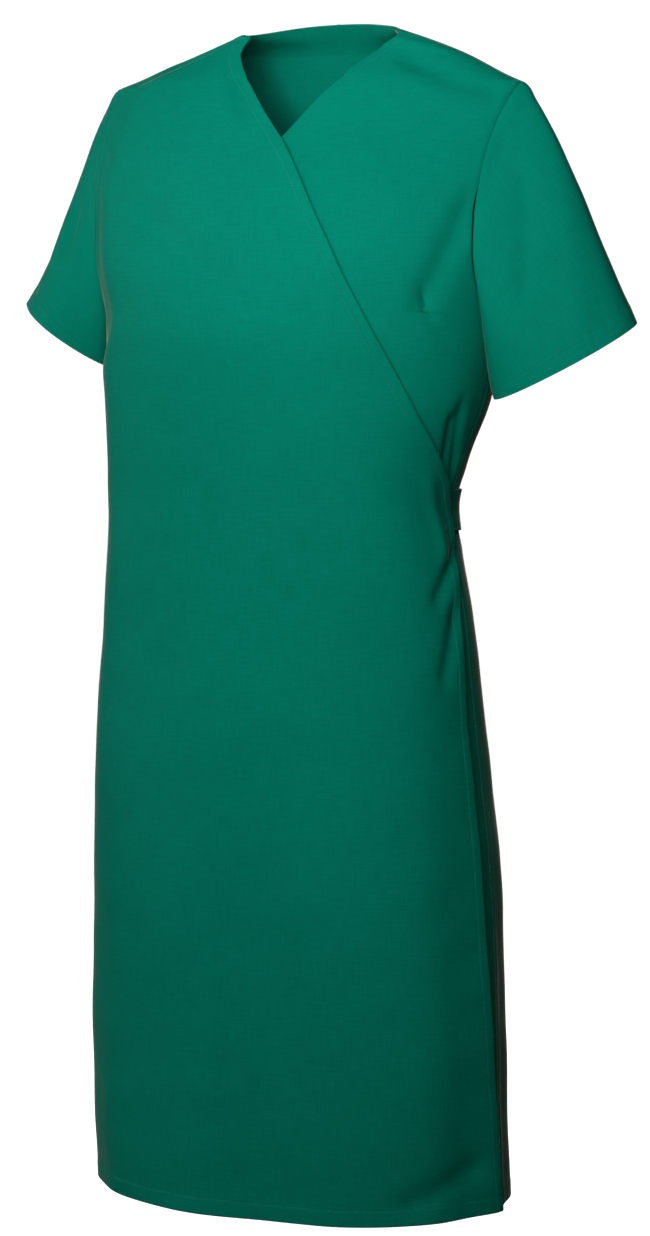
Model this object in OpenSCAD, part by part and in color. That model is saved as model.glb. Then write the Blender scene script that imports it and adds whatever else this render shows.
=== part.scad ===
// Wrap-over patient gown with short sleeves, worn shape, front towards -Y.
// The origin is midway between the two neck points, the wearer's left is +X.

/* [Length and shoulders] */
// Neck point to bottom hem
gown_length = 1062; // [1020:1:1110]
// Half width of the neck at the wearer's right
neck_half_right = 70; // [64:1:78]
// Half width of the neck at the wearer's left
neck_half_left = 80; // [74:1:86]
// Centre to shoulder tip
shoulder_half = 203; // [196:1:208]
// Fall of the shoulder line from neck point to tip
shoulder_drop = 45; // [40:1:50]
// Rise of the back neck above the neck points
neck_rise = 13; // [8:1:18]

/* [Body widths, half] */
// Chest, wearer's right
chest_right = 221; // [214:1:226]
// Chest, wearer's left
chest_left = 201; // [196:1:206]
// Waist, wearer's right, hanging loose
waist_right = 195; // [188:1:200]
// Waist, wearer's left, drawn in by the tie
waist_left = 137; // [134:1:150]
// Hip, wearer's right
hip_right = 207; // [200:1:212]
// Hip, wearer's left
hip_left = 183; // [178:1:190]

/* [Body depths] */
// Chest, middle to front
chest_front = 121; // [114:1:126]
// Waist, middle to front
waist_front = 106; // [100:1:112]
// Hem, middle to front
hem_front = 140; // [132:1:146]
// Shoulder blades, middle to back
chest_back = 103; // [98:1:108]
// Waist, middle to back
waist_back = 87; // [82:1:94]
// Hem, middle to back
hem_back = 128; // [120:1:134]

/* [Cloth] */
// Thickness of a cloth layer, with its nap and small folds
cloth = 1.2; // [1:0.1:1.4]
// How far the overlap lies outside the underlap
wrap_lift = 4.5; // [4.5:0.1:5]
// Width of the turned bottom and sleeve hems
hem_width = 15; // [12:1:20]
// Width of the facings inside the front edges, in degrees round the body
facing_turn = 13; // [10:1:16]

/* [Sleeves] */
// Height of the armhole
armhole_height = 213; // [205:1:220]
// Half width of the armhole, in degrees round the body
armhole_turn = 26; // [23:1:28]
// Middle of the left sleeve's hem, out from the centre
left_cuff_out = 247; // [243:1:252]
// Middle of the left sleeve's hem, below the neck point
left_cuff_down = 300; // [294:1:306]
// Half width of the left sleeve's hem
left_cuff_half = 71; // [66:1:74]
// Half depth of the left sleeve's hem
left_cuff_depth = 43; // [39:1:47]
// How much higher the back of the left hem hangs than its middle
left_cuff_tilt = 15; // [8:1:18]
// Angle of the hanging left sleeve from the vertical
left_sleeve_angle = 25; // [21:1:29]
// Middle of the right sleeve's hem, out from the centre
right_cuff_out = 247; // [244:1:252]
// Middle of the right sleeve's hem, below the neck point
right_cuff_down = 273; // [268:1:280]
// Half width of the right sleeve's hem
right_cuff_half = 54; // [50:1:57]
// Half depth of the right sleeve's hem
right_cuff_depth = 57; // [52:1:60]
// How much lower the back of the right hem hangs than its middle
right_cuff_tilt = 5; // [0:1:8]
// Angle of the raised right sleeve from the vertical
right_sleeve_angle = 36; // [32:1:40]

/* [Ties] */
// Width of the tie band
tie_width = 38; // [34:1:40]
// Middle of the tie band, below the neck point
tie_down = 433; // [428:1:438]
// Reach of each bow loop
loop_reach = 84; // [70:1:95]
// Length of each hanging tie end
tail_length = 290; // [240:5:340]

/* [Hidden] */

green = [0.02, 0.40, 0.33];
green_inside = [0.02, 0.32, 0.27];
green_tie = [0.03, 0.36, 0.30];
thread = [0.16, 0.52, 0.44];
label_white = [0.88, 0.90, 0.88];

seam_gap = 0.8;        // from a seam's middle to the cloth edge on each side
layer_gap = 0.7;       // between a panel and the facing or hem inside it
inner_layer = 1.0;     // thickness of a facing or a turned hem
armhole_mid = shoulder_drop + armhole_height / 2;
armhole_low = shoulder_drop + armhole_height;
armhole_power = 2.2;
neck_power = 1.5;      // how the back neck edge rises from the neck points to its middle
underlap_turn = 165;   // the underlap stops short of the far side seam
hinge_turn = 120;      // where the free flap of the overlap starts
flap_top = 470;        // the flap starts just under the tie band
flap_gap = 1.5;
slit_turn = 9.5;       // depth of the tie slit in the right side seam
slit_half = tie_width / 2 + 5;
pivot_gap = 1.6;       // between the armhole edge and the sleeve
step = 0.01;           // small step used to find a surface's normal

// Half widths and depths of the body at depths below the neck point
right_profile = [[shoulder_drop, shoulder_half - 3], [90, chest_right - 3], [135, chest_right + 2],
    [200, chest_right - 8], [armhole_low, waist_right + 2], [tie_down, waist_right],
    [700, hip_right], [860, hip_right], [gown_length, hip_right - 7]];
left_profile = [[shoulder_drop, shoulder_half + 2], [110, chest_left + 2], [180, chest_left - 4],
    [armhole_low, chest_left - 17], [330, 170], [390, 148], [tie_down, waist_left],
    [500, waist_left + 10], [640, 164], [830, hip_left - 2], [gown_length, hip_left + 6]];
front_profile = [[0, 4], [20, 15], [shoulder_drop, 35], [95, 62], [170, 102], [230, chest_front - 2],
    [270, chest_front], [330, 114], [tie_down, waist_front], [640, 121], [gown_length, hem_front]];
back_profile = [[-neck_rise, 60], [0, 66], [shoulder_drop, 84], [110, chest_back - 4],
    [190, chest_back], [330, 92], [tie_down, waist_back], [640, 118], [gown_length, hem_back]];

// How far round from the shoulder line the front edge has come, in degrees
edge_profile = [[0, 5], [16, 52], [41, 75], [102, 90.5], [215, 110.6], [302, 130], [343, 141.7],
    [374, 155.6], [412, 174], [450, 182], [500, 179.5], [640, 174.5], [860, 175], [gown_length, 179]];

// ---- curves ----

function mix(a, b, t) = a + (b - a) * t;
function clamp(x, low, high) = min(max(x, low), high);
function smooth(t) = let (u = clamp(t, 0, 1)) u * u * (3 - 2 * u);
function span_at(table, d, i = 0) =
    i >= len(table) - 2 || d <= table[i + 1][0] ? i : span_at(table, d, i + 1);
function secant(table, i) = (table[i + 1][1] - table[i][1]) / (table[i + 1][0] - table[i][0]);
function slope(table, i) =
    i == 0 ? secant(table, 0)
    : i == len(table) - 1 ? secant(table, i - 1)
    : let (a = secant(table, i - 1), b = secant(table, i)) a * b <= 0 ? 0 : 2 * a * b / (a + b);
// Smooth curve through the table's points that never overshoots them
function curve(table, depth) =
    let (d = clamp(depth, table[0][0], table[len(table) - 1][0]),
        i = span_at(table, d),
        h = table[i + 1][0] - table[i][0],
        u = (d - table[i][0]) / h,
        a = table[i][1], b = table[i + 1][1],
        ma = slope(table, i) * h, mb = slope(table, i + 1) * h)
    (2 * u * u * u - 3 * u * u + 1) * a + (u * u * u - 2 * u * u + u) * ma
    + (3 * u * u - 2 * u * u * u) * b + (u * u * u - u * u) * mb;

// ---- the body's surface ----
// turn is the angle seen from above, 0 at the wearer's left, 90 at the back; depth is below the neck

function half_width(depth, left) =
    let (neck = left ? neck_half_left : neck_half_right,
        profile = left ? left_profile : right_profile)
    depth <= 0 ? neck
    : depth < shoulder_drop ? mix(neck, profile[0][1], depth / shoulder_drop)
    : curve(profile, depth);
function power_at(depth) = 2 + 0.15 * clamp((depth - 45) / 75, 0, 1) + 0.15 * clamp((depth - 120) / 80, 0, 1);
function signed_power(x, p) = sign(x) * pow(abs(x), p);
function body_point(turn, depth) =
    let (c = cos(turn), s = sin(turn), p = 2 / power_at(depth),
        a = half_width(depth, c >= 0),
        b = s >= 0 ? curve(back_profile, depth) : curve(front_profile, depth))
    [a * signed_power(c, p), b * signed_power(s, p), -depth];
function body_normal(turn, depth) =
    let (t = clamp(abs(sin(turn)), 0, 1) < 0.02 ? (cos(turn) > 0 ? 0 : 180) : turn,
        along = body_point(turn + 0.5, depth) - body_point(turn - 0.5, depth),
        down = body_point(t, depth + step) - body_point(t, depth - step),
        n = cross(down, along))
    n / norm(n);
// A point of the cloth, lift outside the body's surface
function skin(turn, depth, lift) = body_point(turn, depth) + lift * body_normal(turn, depth);

// Turn that keeps a cloth edge seam_gap away from the seam line
function seam_turn(depth, front) =
    let (b = front ? curve(front_profile, depth) : curve(back_profile, depth))
    asin(pow(min(seam_gap / b, 0.5), power_at(depth) / 2));
function armhole_edge(depth) =
    let (u = abs(depth - armhole_mid) / (armhole_height / 2))
    u >= 1 ? 0 : armhole_turn * pow(1 - pow(u, armhole_power), 1 / armhole_power);
function side_edge(depth, front) = max(seam_turn(depth, front), armhole_edge(depth));
function front_edge(depth) = curve(edge_profile, depth);

// ---- rows and columns of the cloth grids ----

shoulder_rows = [for (k = [0:7]) mix(2, shoulder_drop, k / 7)];
armhole_rows = [for (a = [15:15:180]) armhole_mid - armhole_height / 2 * cos(a)];
upper_rows = [280, 302, 322, 340, 356, 371, 385, 397, tie_down - slit_half];
waist_rows = [tie_down - slit_half + 1, tie_down, tie_down + slit_half - 1, tie_down + slit_half];
skirt_rows = [flap_top, 500, 535, 575, 620, 670, 725, 785, 850, 915, 985, gown_length];
top_rows = concat(shoulder_rows, armhole_rows, upper_rows, waist_rows);
panel_rows = concat(top_rows, skirt_rows);
flap_rows = concat([flap_top + flap_gap], [for (d = skirt_rows) if (d > flap_top) d]);
function count_up_to(rows, depth) = len([for (r = rows) if (r <= depth) r]);
function spread(a, b, n) = [for (k = [0:n]) mix(a, b, k / n)];

// ---- solids ----

// A cloth solid between two grids of points, made only where keep(row, column) holds
module cloth_solid(outer, inner, closed = false, keep = function (i, j) true) {
    cols = len(outer[0]);
    row_cells = len(outer) - 1;
    col_cells = closed ? cols : cols - 1;
    half = len(outer) * cols;
    at = function (i, j) i * cols + (j % cols);
    live = function (i, j) i >= 0 && i < row_cells && (closed || (j >= 0 && j < col_cells)) && keep(i, j);
    cells = [for (i = [0:row_cells - 1]) for (j = [0:col_cells - 1]) if (live(i, j)) [i, j]];
    rims = [for (q = cells)
        let (i = q[0], j = q[1], a = at(i, j), b = at(i, j + 1), c = at(i + 1, j + 1), d = at(i + 1, j))
        each [if (!live(i - 1, j)) [a, b], if (!live(i, j + 1)) [b, c],
            if (!live(i + 1, j)) [c, d], if (!live(i, j - 1)) [d, a]]];
    faces = concat(
        [for (q = cells)
            let (a = at(q[0], q[1]), b = at(q[0], q[1] + 1), c = at(q[0] + 1, q[1] + 1), d = at(q[0] + 1, q[1]))
            each [[a, b, c], [a, c, d], [a + half, c + half, b + half], [a + half, d + half, c + half]]],
        [for (r = rims) each [[r[1], r[0], r[0] + half], [r[1], r[0] + half, r[1] + half]]]);
    polyhedron(points = concat([for (row = outer) each row], [for (row = inner) each row]), faces = faces);
}

// Cloth on the body: edges(depth) gives the first and last turn, lift the outer face's height
module body_cloth(rows, columns, edges, lift, thick) {
    turns = [for (d = rows) let (e = edges(d)) spread(e[0], e[1], columns)];
    grid = function (into) [for (i = [0:len(rows) - 1])
        [for (t = turns[i]) skin(t, rows[i], lift(t, rows[i]) - into)]];
    cloth_solid(grid(0), grid(thick));
}

// The overlap is level with the back at the right side seam and armhole, and rises from there
// to lie outside the underlap
rise_turn = 14;
overlap_lift = function (turn, depth)
    let (from = (armhole_turn + 2) * (1 - smooth((depth - armhole_low) / 80)))
    wrap_lift * smooth((turn + 180 - from) / rise_turn);
flat_lift = function (turn, depth) 0;
overlap_inside = function (turn, depth) overlap_lift(turn, depth) - cloth - layer_gap;
flat_inside = function (turn, depth) -cloth - layer_gap;
deep_inside = function (turn, depth) -cloth - 2.5 * layer_gap;

// ---- body panels ----

near_columns = 11;     // from the right side seam to the hinge line
flap_columns = 8;      // from the hinge line to the free edge
hinge_start = -180 + hinge_turn;
hinge_half_gap = 0.7;  // half the gap at the hinge line, in degrees

function right_side(depth) = -180 + side_edge(depth, true);
function overlap_edge(depth) = -180 + front_edge(depth);
function underlap_edge(depth) = -min(front_edge(depth), underlap_turn);

// Wearer's right front: whole above the flap, and only up to the flap's hinge line below it
module front_right_panel() {
    last_full = count_up_to(panel_rows, flap_top) - 1;
    share = near_columns / (near_columns + flap_columns);
    turns = [for (d = panel_rows)
        let (a = right_side(d), b = overlap_edge(d),
            middle = mix(mix(a, b, share), hinge_start - hinge_half_gap, smooth((d - 250) / 150)))
        concat(spread(a, middle, near_columns), [for (k = [1:flap_columns]) mix(middle, b, k / flap_columns)])];
    grid = function (into) [for (i = [0:len(panel_rows) - 1])
        [for (t = turns[i]) skin(t, panel_rows[i], overlap_lift(t, panel_rows[i]) - into)]];
    color(green) cloth_solid(grid(0), grid(cloth), keep = function (i, j) i < last_full || j < near_columns);
}

// Free part of the overlap below the tie, which swings open
module front_right_flap() {
    color(green) body_cloth(flap_rows, flap_columns,
        function (d) [hinge_start + hinge_half_gap, overlap_edge(d)], overlap_lift, cloth);
}

// Wearer's left front, the underlap, which runs on under the overlap to the right side
module front_left_panel() {
    color(green) body_cloth(panel_rows, 16,
        function (d) [underlap_edge(d), -side_edge(d, true)], flat_lift, cloth);
}

// The whole back, with the tie slit cut into its right side seam
module back_panel() {
    in_slit = function (d) abs(d - tie_down) < slit_half - 0.5;
    low = [for (d = panel_rows) side_edge(d, false)];
    high = [for (d = panel_rows) 180 - side_edge(d, false) - (in_slit(d) ? slit_turn : 0)];
    neck_turns = spread(low[0], high[0], 16);
    neck_lift = function (t) 0.08 + 0.92 * pow(sin(t), neck_power);
    grid = function (lift) concat(
        [for (v = [1, 0.7, 0.35]) [for (t = neck_turns) skin(t, mix(panel_rows[0], -neck_rise, v * neck_lift(t)), lift)]],
        [for (i = [0:len(panel_rows) - 1]) [for (t = spread(low[i], high[i], 16)) skin(t, panel_rows[i], lift)]]);
    color(green) cloth_solid(grid(0), grid(-cloth));
}

// ---- sleeves ----

function cuff_angle(left) = left ? left_sleeve_angle : right_sleeve_angle;
function cuff_axis(left) = [sin(cuff_angle(left)), 0, -cos(cuff_angle(left))];

// Points are worked out as for a left sleeve, and the right one is mirrored
function armhole_point(a, left) =
    let (depth = armhole_mid - armhole_height / 2 * signed_power(cos(a), 2 / armhole_power),
        turn = armhole_turn * signed_power(sin(a), 2 / armhole_power),
        p = body_point(left ? turn : 180 - turn, depth))
    [(left ? 1 : -1) * p[0] + pivot_gap, p[1], p[2]];
function cuff_point(a, left) =
    let (angle = cuff_angle(left), half = left ? left_cuff_half : right_cuff_half,
        back = left ? [0, left_cuff_depth, left_cuff_tilt] : [0, right_cuff_depth, -right_cuff_tilt])
    [left ? left_cuff_out : right_cuff_out, 0, left ? -left_cuff_down : -right_cuff_down]
    + half * cos(a) * [cos(angle), 0, sin(angle)] + sin(a) * back;
// A point down the sleeve: t is 0 at the armhole and 1 at the hem, a is 0 on top, 90 at the back
function sleeve_point(a, t, left) =
    let (p = armhole_point(a, left), q = cuff_point(a, left), reach = norm(q - p), c = cos(a),
        leave = [0.43 + 0.33 * c, 0.12 * sin(a), -0.86 + 0.2 * c],
        m = 0.48 * reach * leave, n = 0.93 * reach * cuff_axis(left),
        t2 = t * t, t3 = t2 * t)
    (2 * t3 - 3 * t2 + 1) * p + (t3 - 2 * t2 + t) * m + (3 * t2 - 2 * t3) * q + (t3 - t2) * n;
function sleeve_skin(a, t, left, lift) =
    let (round = sleeve_point(a + 1, t, left) - sleeve_point(a - 1, t, left),
        down = sleeve_point(a, t + step, left) - sleeve_point(a, t - step, left),
        n = cross(down, round))
    sleeve_point(a, t, left) + lift * n / norm(n);

sleeve_angles = [for (a = [0:13:350]) a * 360 / 351];
sleeve_steps = [0, 0.06, 0.16, 0.3, 0.46, 0.64, 0.82, 1];
module sleeve(left) {
    grid = function (lift) [for (t = sleeve_steps) [for (a = sleeve_angles) sleeve_skin(a, t, left, lift)]];
    mirror([left ? 0 : 1, 0, 0]) cloth_solid(grid(0), grid(-cloth), closed = true);
}
module sleeve_hem(left) {
    reach = function (a) norm(cuff_point(a, left) - armhole_point(a, left));
    grid = function (lift) [for (d = [hem_width, 0.5])
        [for (a = sleeve_angles) sleeve_skin(a, 1 - d / reach(a), left, lift)]];
    mirror([left ? 0 : 1, 0, 0])
        cloth_solid(grid(flat_inside(0, 0)), grid(flat_inside(0, 0) - inner_layer), closed = true);
}
module sleeve_left() { color(green) sleeve(true); }
module sleeve_right() { color(green) sleeve(false); }
module sleeve_left_hem() { color(green_inside) sleeve_hem(true); }
module sleeve_right_hem() { color(green_inside) sleeve_hem(false); }

// ---- facings and turned hems ----

edge_inset = 0.6;      // how far a facing or hem stops short of the cloth edge, in degrees
facing_low = tie_down - tie_width / 2 - 2;
facing_rows = [for (d = top_rows) if (d <= facing_low) d];
function facing_width(depth) = min(facing_turn, 0.5 * front_edge(depth));

module front_right_facing() {
    color(green_inside) body_cloth(facing_rows, 3,
        function (d) [overlap_edge(d) - facing_width(d), overlap_edge(d) - edge_inset], overlap_inside, inner_layer);
}
module front_left_facing() {
    color(green_inside) body_cloth([for (d = facing_rows) if (d < 340) d], 3,
        function (d) [underlap_edge(d) + edge_inset, underlap_edge(d) + facing_width(d)],
        flat_inside, inner_layer);
}
neck_inside = deep_inside(0, 0) - 2.4;
module back_neck_facing() {
    facing_depth = 26;
    turns = spread(14, 166, 16);
    top = function (t) mix(2, -neck_rise, 0.9 * pow(sin(t), neck_power));
    grid = function (lift) [for (v = [0, 0.5, 1])
        [for (t = turns) skin(t, top(t) + v * facing_depth * (0.35 + 0.65 * sin(t)), lift)]];
    color(green_inside) cloth_solid(grid(neck_inside), grid(neck_inside - inner_layer));
}

hem_rows = [gown_length - hem_width, gown_length - 0.5];
module front_right_hem() {
    color(green_inside) body_cloth(hem_rows, near_columns,
        function (d) [right_side(d) + edge_inset, hinge_start - hinge_half_gap], overlap_inside, inner_layer);
}
module flap_hem() {
    color(green_inside) body_cloth(hem_rows, flap_columns,
        function (d) [hinge_start + hinge_half_gap, overlap_edge(d) - edge_inset], overlap_inside, inner_layer);
}
module flap_edge_hem() {
    rows = concat([for (d = flap_rows) if (d < gown_length) d], [gown_length - hem_width - 1]);
    color(green_inside) body_cloth(rows, 2,
        function (d) [overlap_edge(d) - facing_turn / 2, overlap_edge(d) - edge_inset],
        function (t, d) overlap_inside(t, d) - 0.4, inner_layer);
}
module front_left_hem() {
    color(green_inside) body_cloth(hem_rows, 16,
        function (d) [underlap_edge(d) + edge_inset, -side_edge(d, true) - edge_inset], flat_inside, inner_layer);
}
module back_hem() {
    color(green_inside) body_cloth(hem_rows, 16,
        function (d) [side_edge(d, false) + edge_inset, 180 - side_edge(d, false) - edge_inset],
        flat_inside, inner_layer);
}

// ---- ties ----

tie_top = 2.6;         // outer face of a tie lying on the body
knot_half = 15;
knot_turn = 84.5;      // each band ends here, beside the knot
band_rows = [tie_down - tie_width / 2, tie_down, tie_down + tie_width / 2];

// Sewn to the overlap's edge, and round the wearer's left side to the knot
module outer_tie_band() {
    color(green_tie) body_cloth(band_rows, 14,
        function (d) [overlap_edge(tie_down + tie_width / 2) + edge_inset, knot_turn],
        function (t, d) mix(wrap_lift, tie_top, smooth((t - 4) / 8)), cloth);
}

// From the underlap's edge, out through the slit in the right side seam, and round to the knot
module inner_tie_band() {
    inside = -cloth - layer_gap - 0.8;
    color(green_tie) body_cloth(band_rows, 20,
        function (d) [180 - knot_turn, 360 - underlap_turn - edge_inset],
        function (t, d) mix(tie_top, inside, smooth((t - 171.5) / 5.5)), cloth);
}

// Patch that strengthens the cloth in front of the slit
module seam_slit_patch() {
    color(green_inside) body_cloth([for (k = [-1, 0, 1]) tie_down + k * (slit_half + 8)], 3,
        function (d) [180 - slit_turn - 12, 180 - slit_turn - 1.5], 
        function (t, d) deep_inside(t, d) - 2 * layer_gap, inner_layer);
}

function back_face(x, depth) =
    let (p = power_at(depth), a = half_width(depth, x >= 0))
    curve(back_profile, depth) * pow(1 - pow(abs(x) / a, p), 1 / p);
knot_y = back_face(0, tie_down) + 7;
loop_y = knot_y + 4.5;

module bow_knot() {
    color(green_tie) hull() {
        for (x = [-1, 1])
            translate([x * (knot_half - 3), knot_y, -tie_down])
                rotate([0, 90, 0]) cylinder(h = 6, r = 6, center = true, $fn = 20);
        for (z = [-1, 1])
            translate([0, knot_y, -tie_down + z * 9])
                rotate([0, 90, 0]) cylinder(h = 20, r = 5, center = true, $fn = 20);
    }
}

// A loop of folded band beside the knot, drooping outwards
module bow_loop(side) {
    start = knot_half + 1;
    half_reach = (loop_reach - start) / 2;
    path = [for (u = [14:12.77:346]) [start + half_reach * (1 - cos(u)), loop_y + 6.5 * sin(u)]];
    droop = function (x) 0.002 * pow(x - start, 2) + 0.1 * (x - start);
    half_band = function (x) mix(9, tie_width / 2 - 3, smooth((x - start) / 40));
    grid = function (grow) [for (v = [1, -1]) [for (p = path)
        let (u = atan2(p[1] - loop_y, p[0] - start - half_reach))
        [p[0] + grow * cos(u), p[1] + grow * sin(u), -tie_down - droop(p[0]) + v * half_band(p[0])]]];
    mirror([side > 0 ? 0 : 1, 0, 0]) cloth_solid(grid(-0.8), grid(0.8));
}
module bow_loop_left() { color(green_tie) bow_loop(1); }
module bow_loop_right() { color(green_tie) bow_loop(-1); }

// A tie end that hangs from the knot, just clear of the back
module tie_tail(side) {
    tail_gap = 4.5;
    top = tie_down + 16;
    across = function (v) mix(16, tie_width - 4, smooth(v * 3));
    inner_edge = function (v) 2.5 + 22 * v;
    grid = function (lift) [for (v = [0:0.1:1]) [for (w = [0, 0.5, 1])
        let (x = side * (inner_edge(v) + w * across(v)), d = top + v * tail_length + 6 * v * w)
        [x, back_face(x, d) + tail_gap + lift, -d]]];
    flip = function (g) side > 0 ? g : [for (row = g) [for (k = [len(row) - 1:-1:0]) row[k]]];
    color(green_tie) cloth_solid(flip(grid(0)), flip(grid(cloth)));
}
module tie_tail_left() { tie_tail(1); }
module tie_tail_right() { tie_tail(-1); }

// Rows of close stitches that hold the outer tie's corners to the overlap
module tie_bartacks() {
    for (k = [-1, 1])
        color(thread) body_cloth([tie_down + k * (tie_width / 2 - 4) - 2.5, tie_down + k * (tie_width / 2 - 4) + 2.5], 2,
            function (d) [overlap_edge(tie_down) - 9, overlap_edge(tie_down) - 4],
            function (t, d) wrap_lift + 1.4, 0.6);
}

// ---- label ----

module care_label() {
    color(label_white) body_cloth([690, 715, 740], 3, function (d) [4, 20], deep_inside, 0.6);
}

front_right_panel();
front_right_flap();
front_left_panel();
back_panel();
sleeve_right();
sleeve_left();
sleeve_right_hem();
sleeve_left_hem();
back_neck_facing();
front_right_facing();
front_left_facing();
front_right_hem();
flap_hem();
flap_edge_hem();
front_left_hem();
back_hem();
outer_tie_band();
inner_tie_band();
bow_knot();
bow_loop_right();
bow_loop_left();
tie_tail_right();
tie_tail_left();
seam_slit_patch();
tie_bartacks();
care_label();
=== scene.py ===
# %% [markdown]
# # A wrap-over patient gown
# This lesson makes a short-sleeved wrap gown, worn shape, as sheets of cloth on a body that isn't there.
# A gown is flat cloth made round by its seams, so the work goes the way a dressmaker's does: first the
# body that the cloth hangs on, then each cut piece with its stitched edges, then the ties and the thread.

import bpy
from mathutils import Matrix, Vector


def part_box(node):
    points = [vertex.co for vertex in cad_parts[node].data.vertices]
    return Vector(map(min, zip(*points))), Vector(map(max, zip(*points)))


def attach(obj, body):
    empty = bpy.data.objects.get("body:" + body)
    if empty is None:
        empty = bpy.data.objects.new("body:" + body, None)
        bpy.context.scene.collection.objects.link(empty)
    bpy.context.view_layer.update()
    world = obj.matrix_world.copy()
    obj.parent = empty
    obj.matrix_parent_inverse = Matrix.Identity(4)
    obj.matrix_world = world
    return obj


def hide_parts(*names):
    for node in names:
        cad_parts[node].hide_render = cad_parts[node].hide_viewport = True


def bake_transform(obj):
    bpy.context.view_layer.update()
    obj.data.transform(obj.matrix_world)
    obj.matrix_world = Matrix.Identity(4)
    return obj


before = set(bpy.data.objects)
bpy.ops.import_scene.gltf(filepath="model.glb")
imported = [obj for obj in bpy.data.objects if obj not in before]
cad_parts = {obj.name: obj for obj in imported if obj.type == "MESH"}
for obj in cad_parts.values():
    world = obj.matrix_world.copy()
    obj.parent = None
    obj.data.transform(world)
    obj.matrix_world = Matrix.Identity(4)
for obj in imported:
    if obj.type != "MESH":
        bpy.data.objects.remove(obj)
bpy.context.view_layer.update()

# %% Tools of the trade
import math

import bmesh
import bpy
import numpy as np
from mathutils import Vector, noise

MM = 0.001
sides = ((1, "left"), (-1, "right"))


def signed_power(x, p):
    return np.sign(x) * np.abs(x) ** p


def unit(vectors):
    return vectors / np.maximum(np.linalg.norm(vectors, axis=-1, keepdims=True), 1e-12)


def map_range(tree, value, to_range, from_range=(0, 1)):
    """A value taken from one range to another by a node, giving its output."""
    node = tree.nodes.new("ShaderNodeMapRange")
    for socket, limit in zip(("From Min", "From Max", "To Min", "To Max"), (*from_range, *to_range)):
        node.inputs[socket].default_value = limit
    tree.links.new(value, node.inputs["Value"])
    return node.outputs["Result"]


print("sizes in metres, drawn in millimetres")

# %% [markdown]
# ## Camera, light and floor
# A garment reads by its soft shading, so the lamps are large and soft. The main one stands in front at
# chest height, so the light falls off towards the hem. A wide one lights the wearer's right, weaker ones
# lift the shoulders and the inside of the neck, and one behind is for views of the back. The gown hangs
# in the air as on a form, over a wide pale floor that is lower than the hem. The camera stands between
# the bust and the waist, 25 degrees to the wearer's left, and far off, as for clothes.

# %% Camera
gown_length = -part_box("back_panel")[0].z
camera_turn = math.radians(25)
camera_distance = 3.0
camera_height = -0.334
aim_height = -0.534
aim_shift = 0.012
picture_height = 1.1366

to_right = Vector((math.cos(camera_turn), math.sin(camera_turn), 0))
aim = Vector((0, 0, aim_height)) + aim_shift * to_right
away = Vector((math.sin(camera_turn), -math.cos(camera_turn), 0)) * camera_distance
eye = aim + away
eye.z = camera_height
camera_data = bpy.data.cameras.new("camera")
camera_data.sensor_fit = "VERTICAL"
camera_data.sensor_height = 36
camera_data.lens = 36 * (aim - eye).length / picture_height
camera = bpy.data.objects.new("camera", camera_data)
camera.location = eye
camera.rotation_euler = (aim - eye).to_track_quat("-Z", "Y").to_euler()
bpy.context.scene.collection.objects.link(camera)
bpy.context.scene.camera = camera
print("camera lens", round(camera_data.lens, 1), "mm at", [round(v, 3) for v in eye])


# %% Lights and surround
def soft_light(name, place, target, size, power, spread=180):
    """A square soft lamp at a place, turned to a target, that shines in a cone this many degrees wide."""
    data = bpy.data.lights.new(name, "AREA")
    data.size = size
    data.energy = power
    data.spread = math.radians(spread)
    lamp = bpy.data.objects.new(name, data)
    lamp.location = place
    lamp.rotation_euler = (Vector(target) - Vector(place)).to_track_quat("-Z", "Y").to_euler()
    bpy.context.scene.collection.objects.link(lamp)


soft_light("key", (-0.55, -1.15, 0.10), (0, 0, -0.20), 0.6, 1.2)
soft_light("front", (0.35, -1.20, -0.05), (0, 0, -0.25), 0.7, 9.8)
soft_light("high", (0.1, -0.9, 1.2), (0, 0, -0.1), 0.8, 1.5)
soft_light("neck", (0.12, -1.35, 0.12), (0, 0.06, -0.04), 0.3, 0.26, spread=36)
soft_light("side", (-2.4, -0.3, 0.4), (0, 0, -0.5), 1.2, 21)
soft_light("back", (-0.3, 2.5, 1.0), (0, 0, -0.5), 1.4, 30)
world = bpy.data.worlds.new("surround")
world.use_nodes = True
surround = world.node_tree.nodes["Background"]
surround.inputs["Color"].default_value = (1, 1, 1, 1)
seen_strength, lit_strength = 1.1, 0.02
rays = world.node_tree.nodes.new("ShaderNodeLightPath")
strength = map_range(world.node_tree, rays.outputs["Is Camera Ray"], (lit_strength, seen_strength))
world.node_tree.links.new(strength, surround.inputs["Strength"])
bpy.context.scene.world = world
bpy.context.scene.view_settings.view_transform = "Standard"
print(len(bpy.data.lights), "soft lights")

# %% Floor
floor_drop = 0.35
floor_level = -gown_length - floor_drop
bpy.ops.mesh.primitive_plane_add(size=40, location=(0, 0, floor_level))
floor = bpy.context.object
floor.name = "floor"
bpy.ops.object.transform_apply(location=True, rotation=False, scale=False)
floor_material = bpy.data.materials.new("pale_floor")
floor_material.use_nodes = True
floor_look = {"Base Color": (0.9, 0.9, 0.9, 1), "Roughness": 0.9,
              "Emission Color": (1, 1, 1, 1), "Emission Strength": 1}
for socket, value in floor_look.items():
    floor_material.node_tree.nodes["Principled BSDF"].inputs[socket].default_value = value
floor.data.materials.append(floor_material)
floor.visible_diffuse = False
floor.visible_glossy = False
print("floor at", round(floor_level, 3))

# %% [markdown]
# ## The body under the cloth
# Cloth takes the shape of what it covers. The body is a stack of level rounded outlines, each with its
# own half width to the left and right and its own depth to the front and back. A few measures down the
# body are joined by curves that never overshoot them. A turn of 0 is the wearer's left, 90 the back,
# and the sizes are those of the frame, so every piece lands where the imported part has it.

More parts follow.
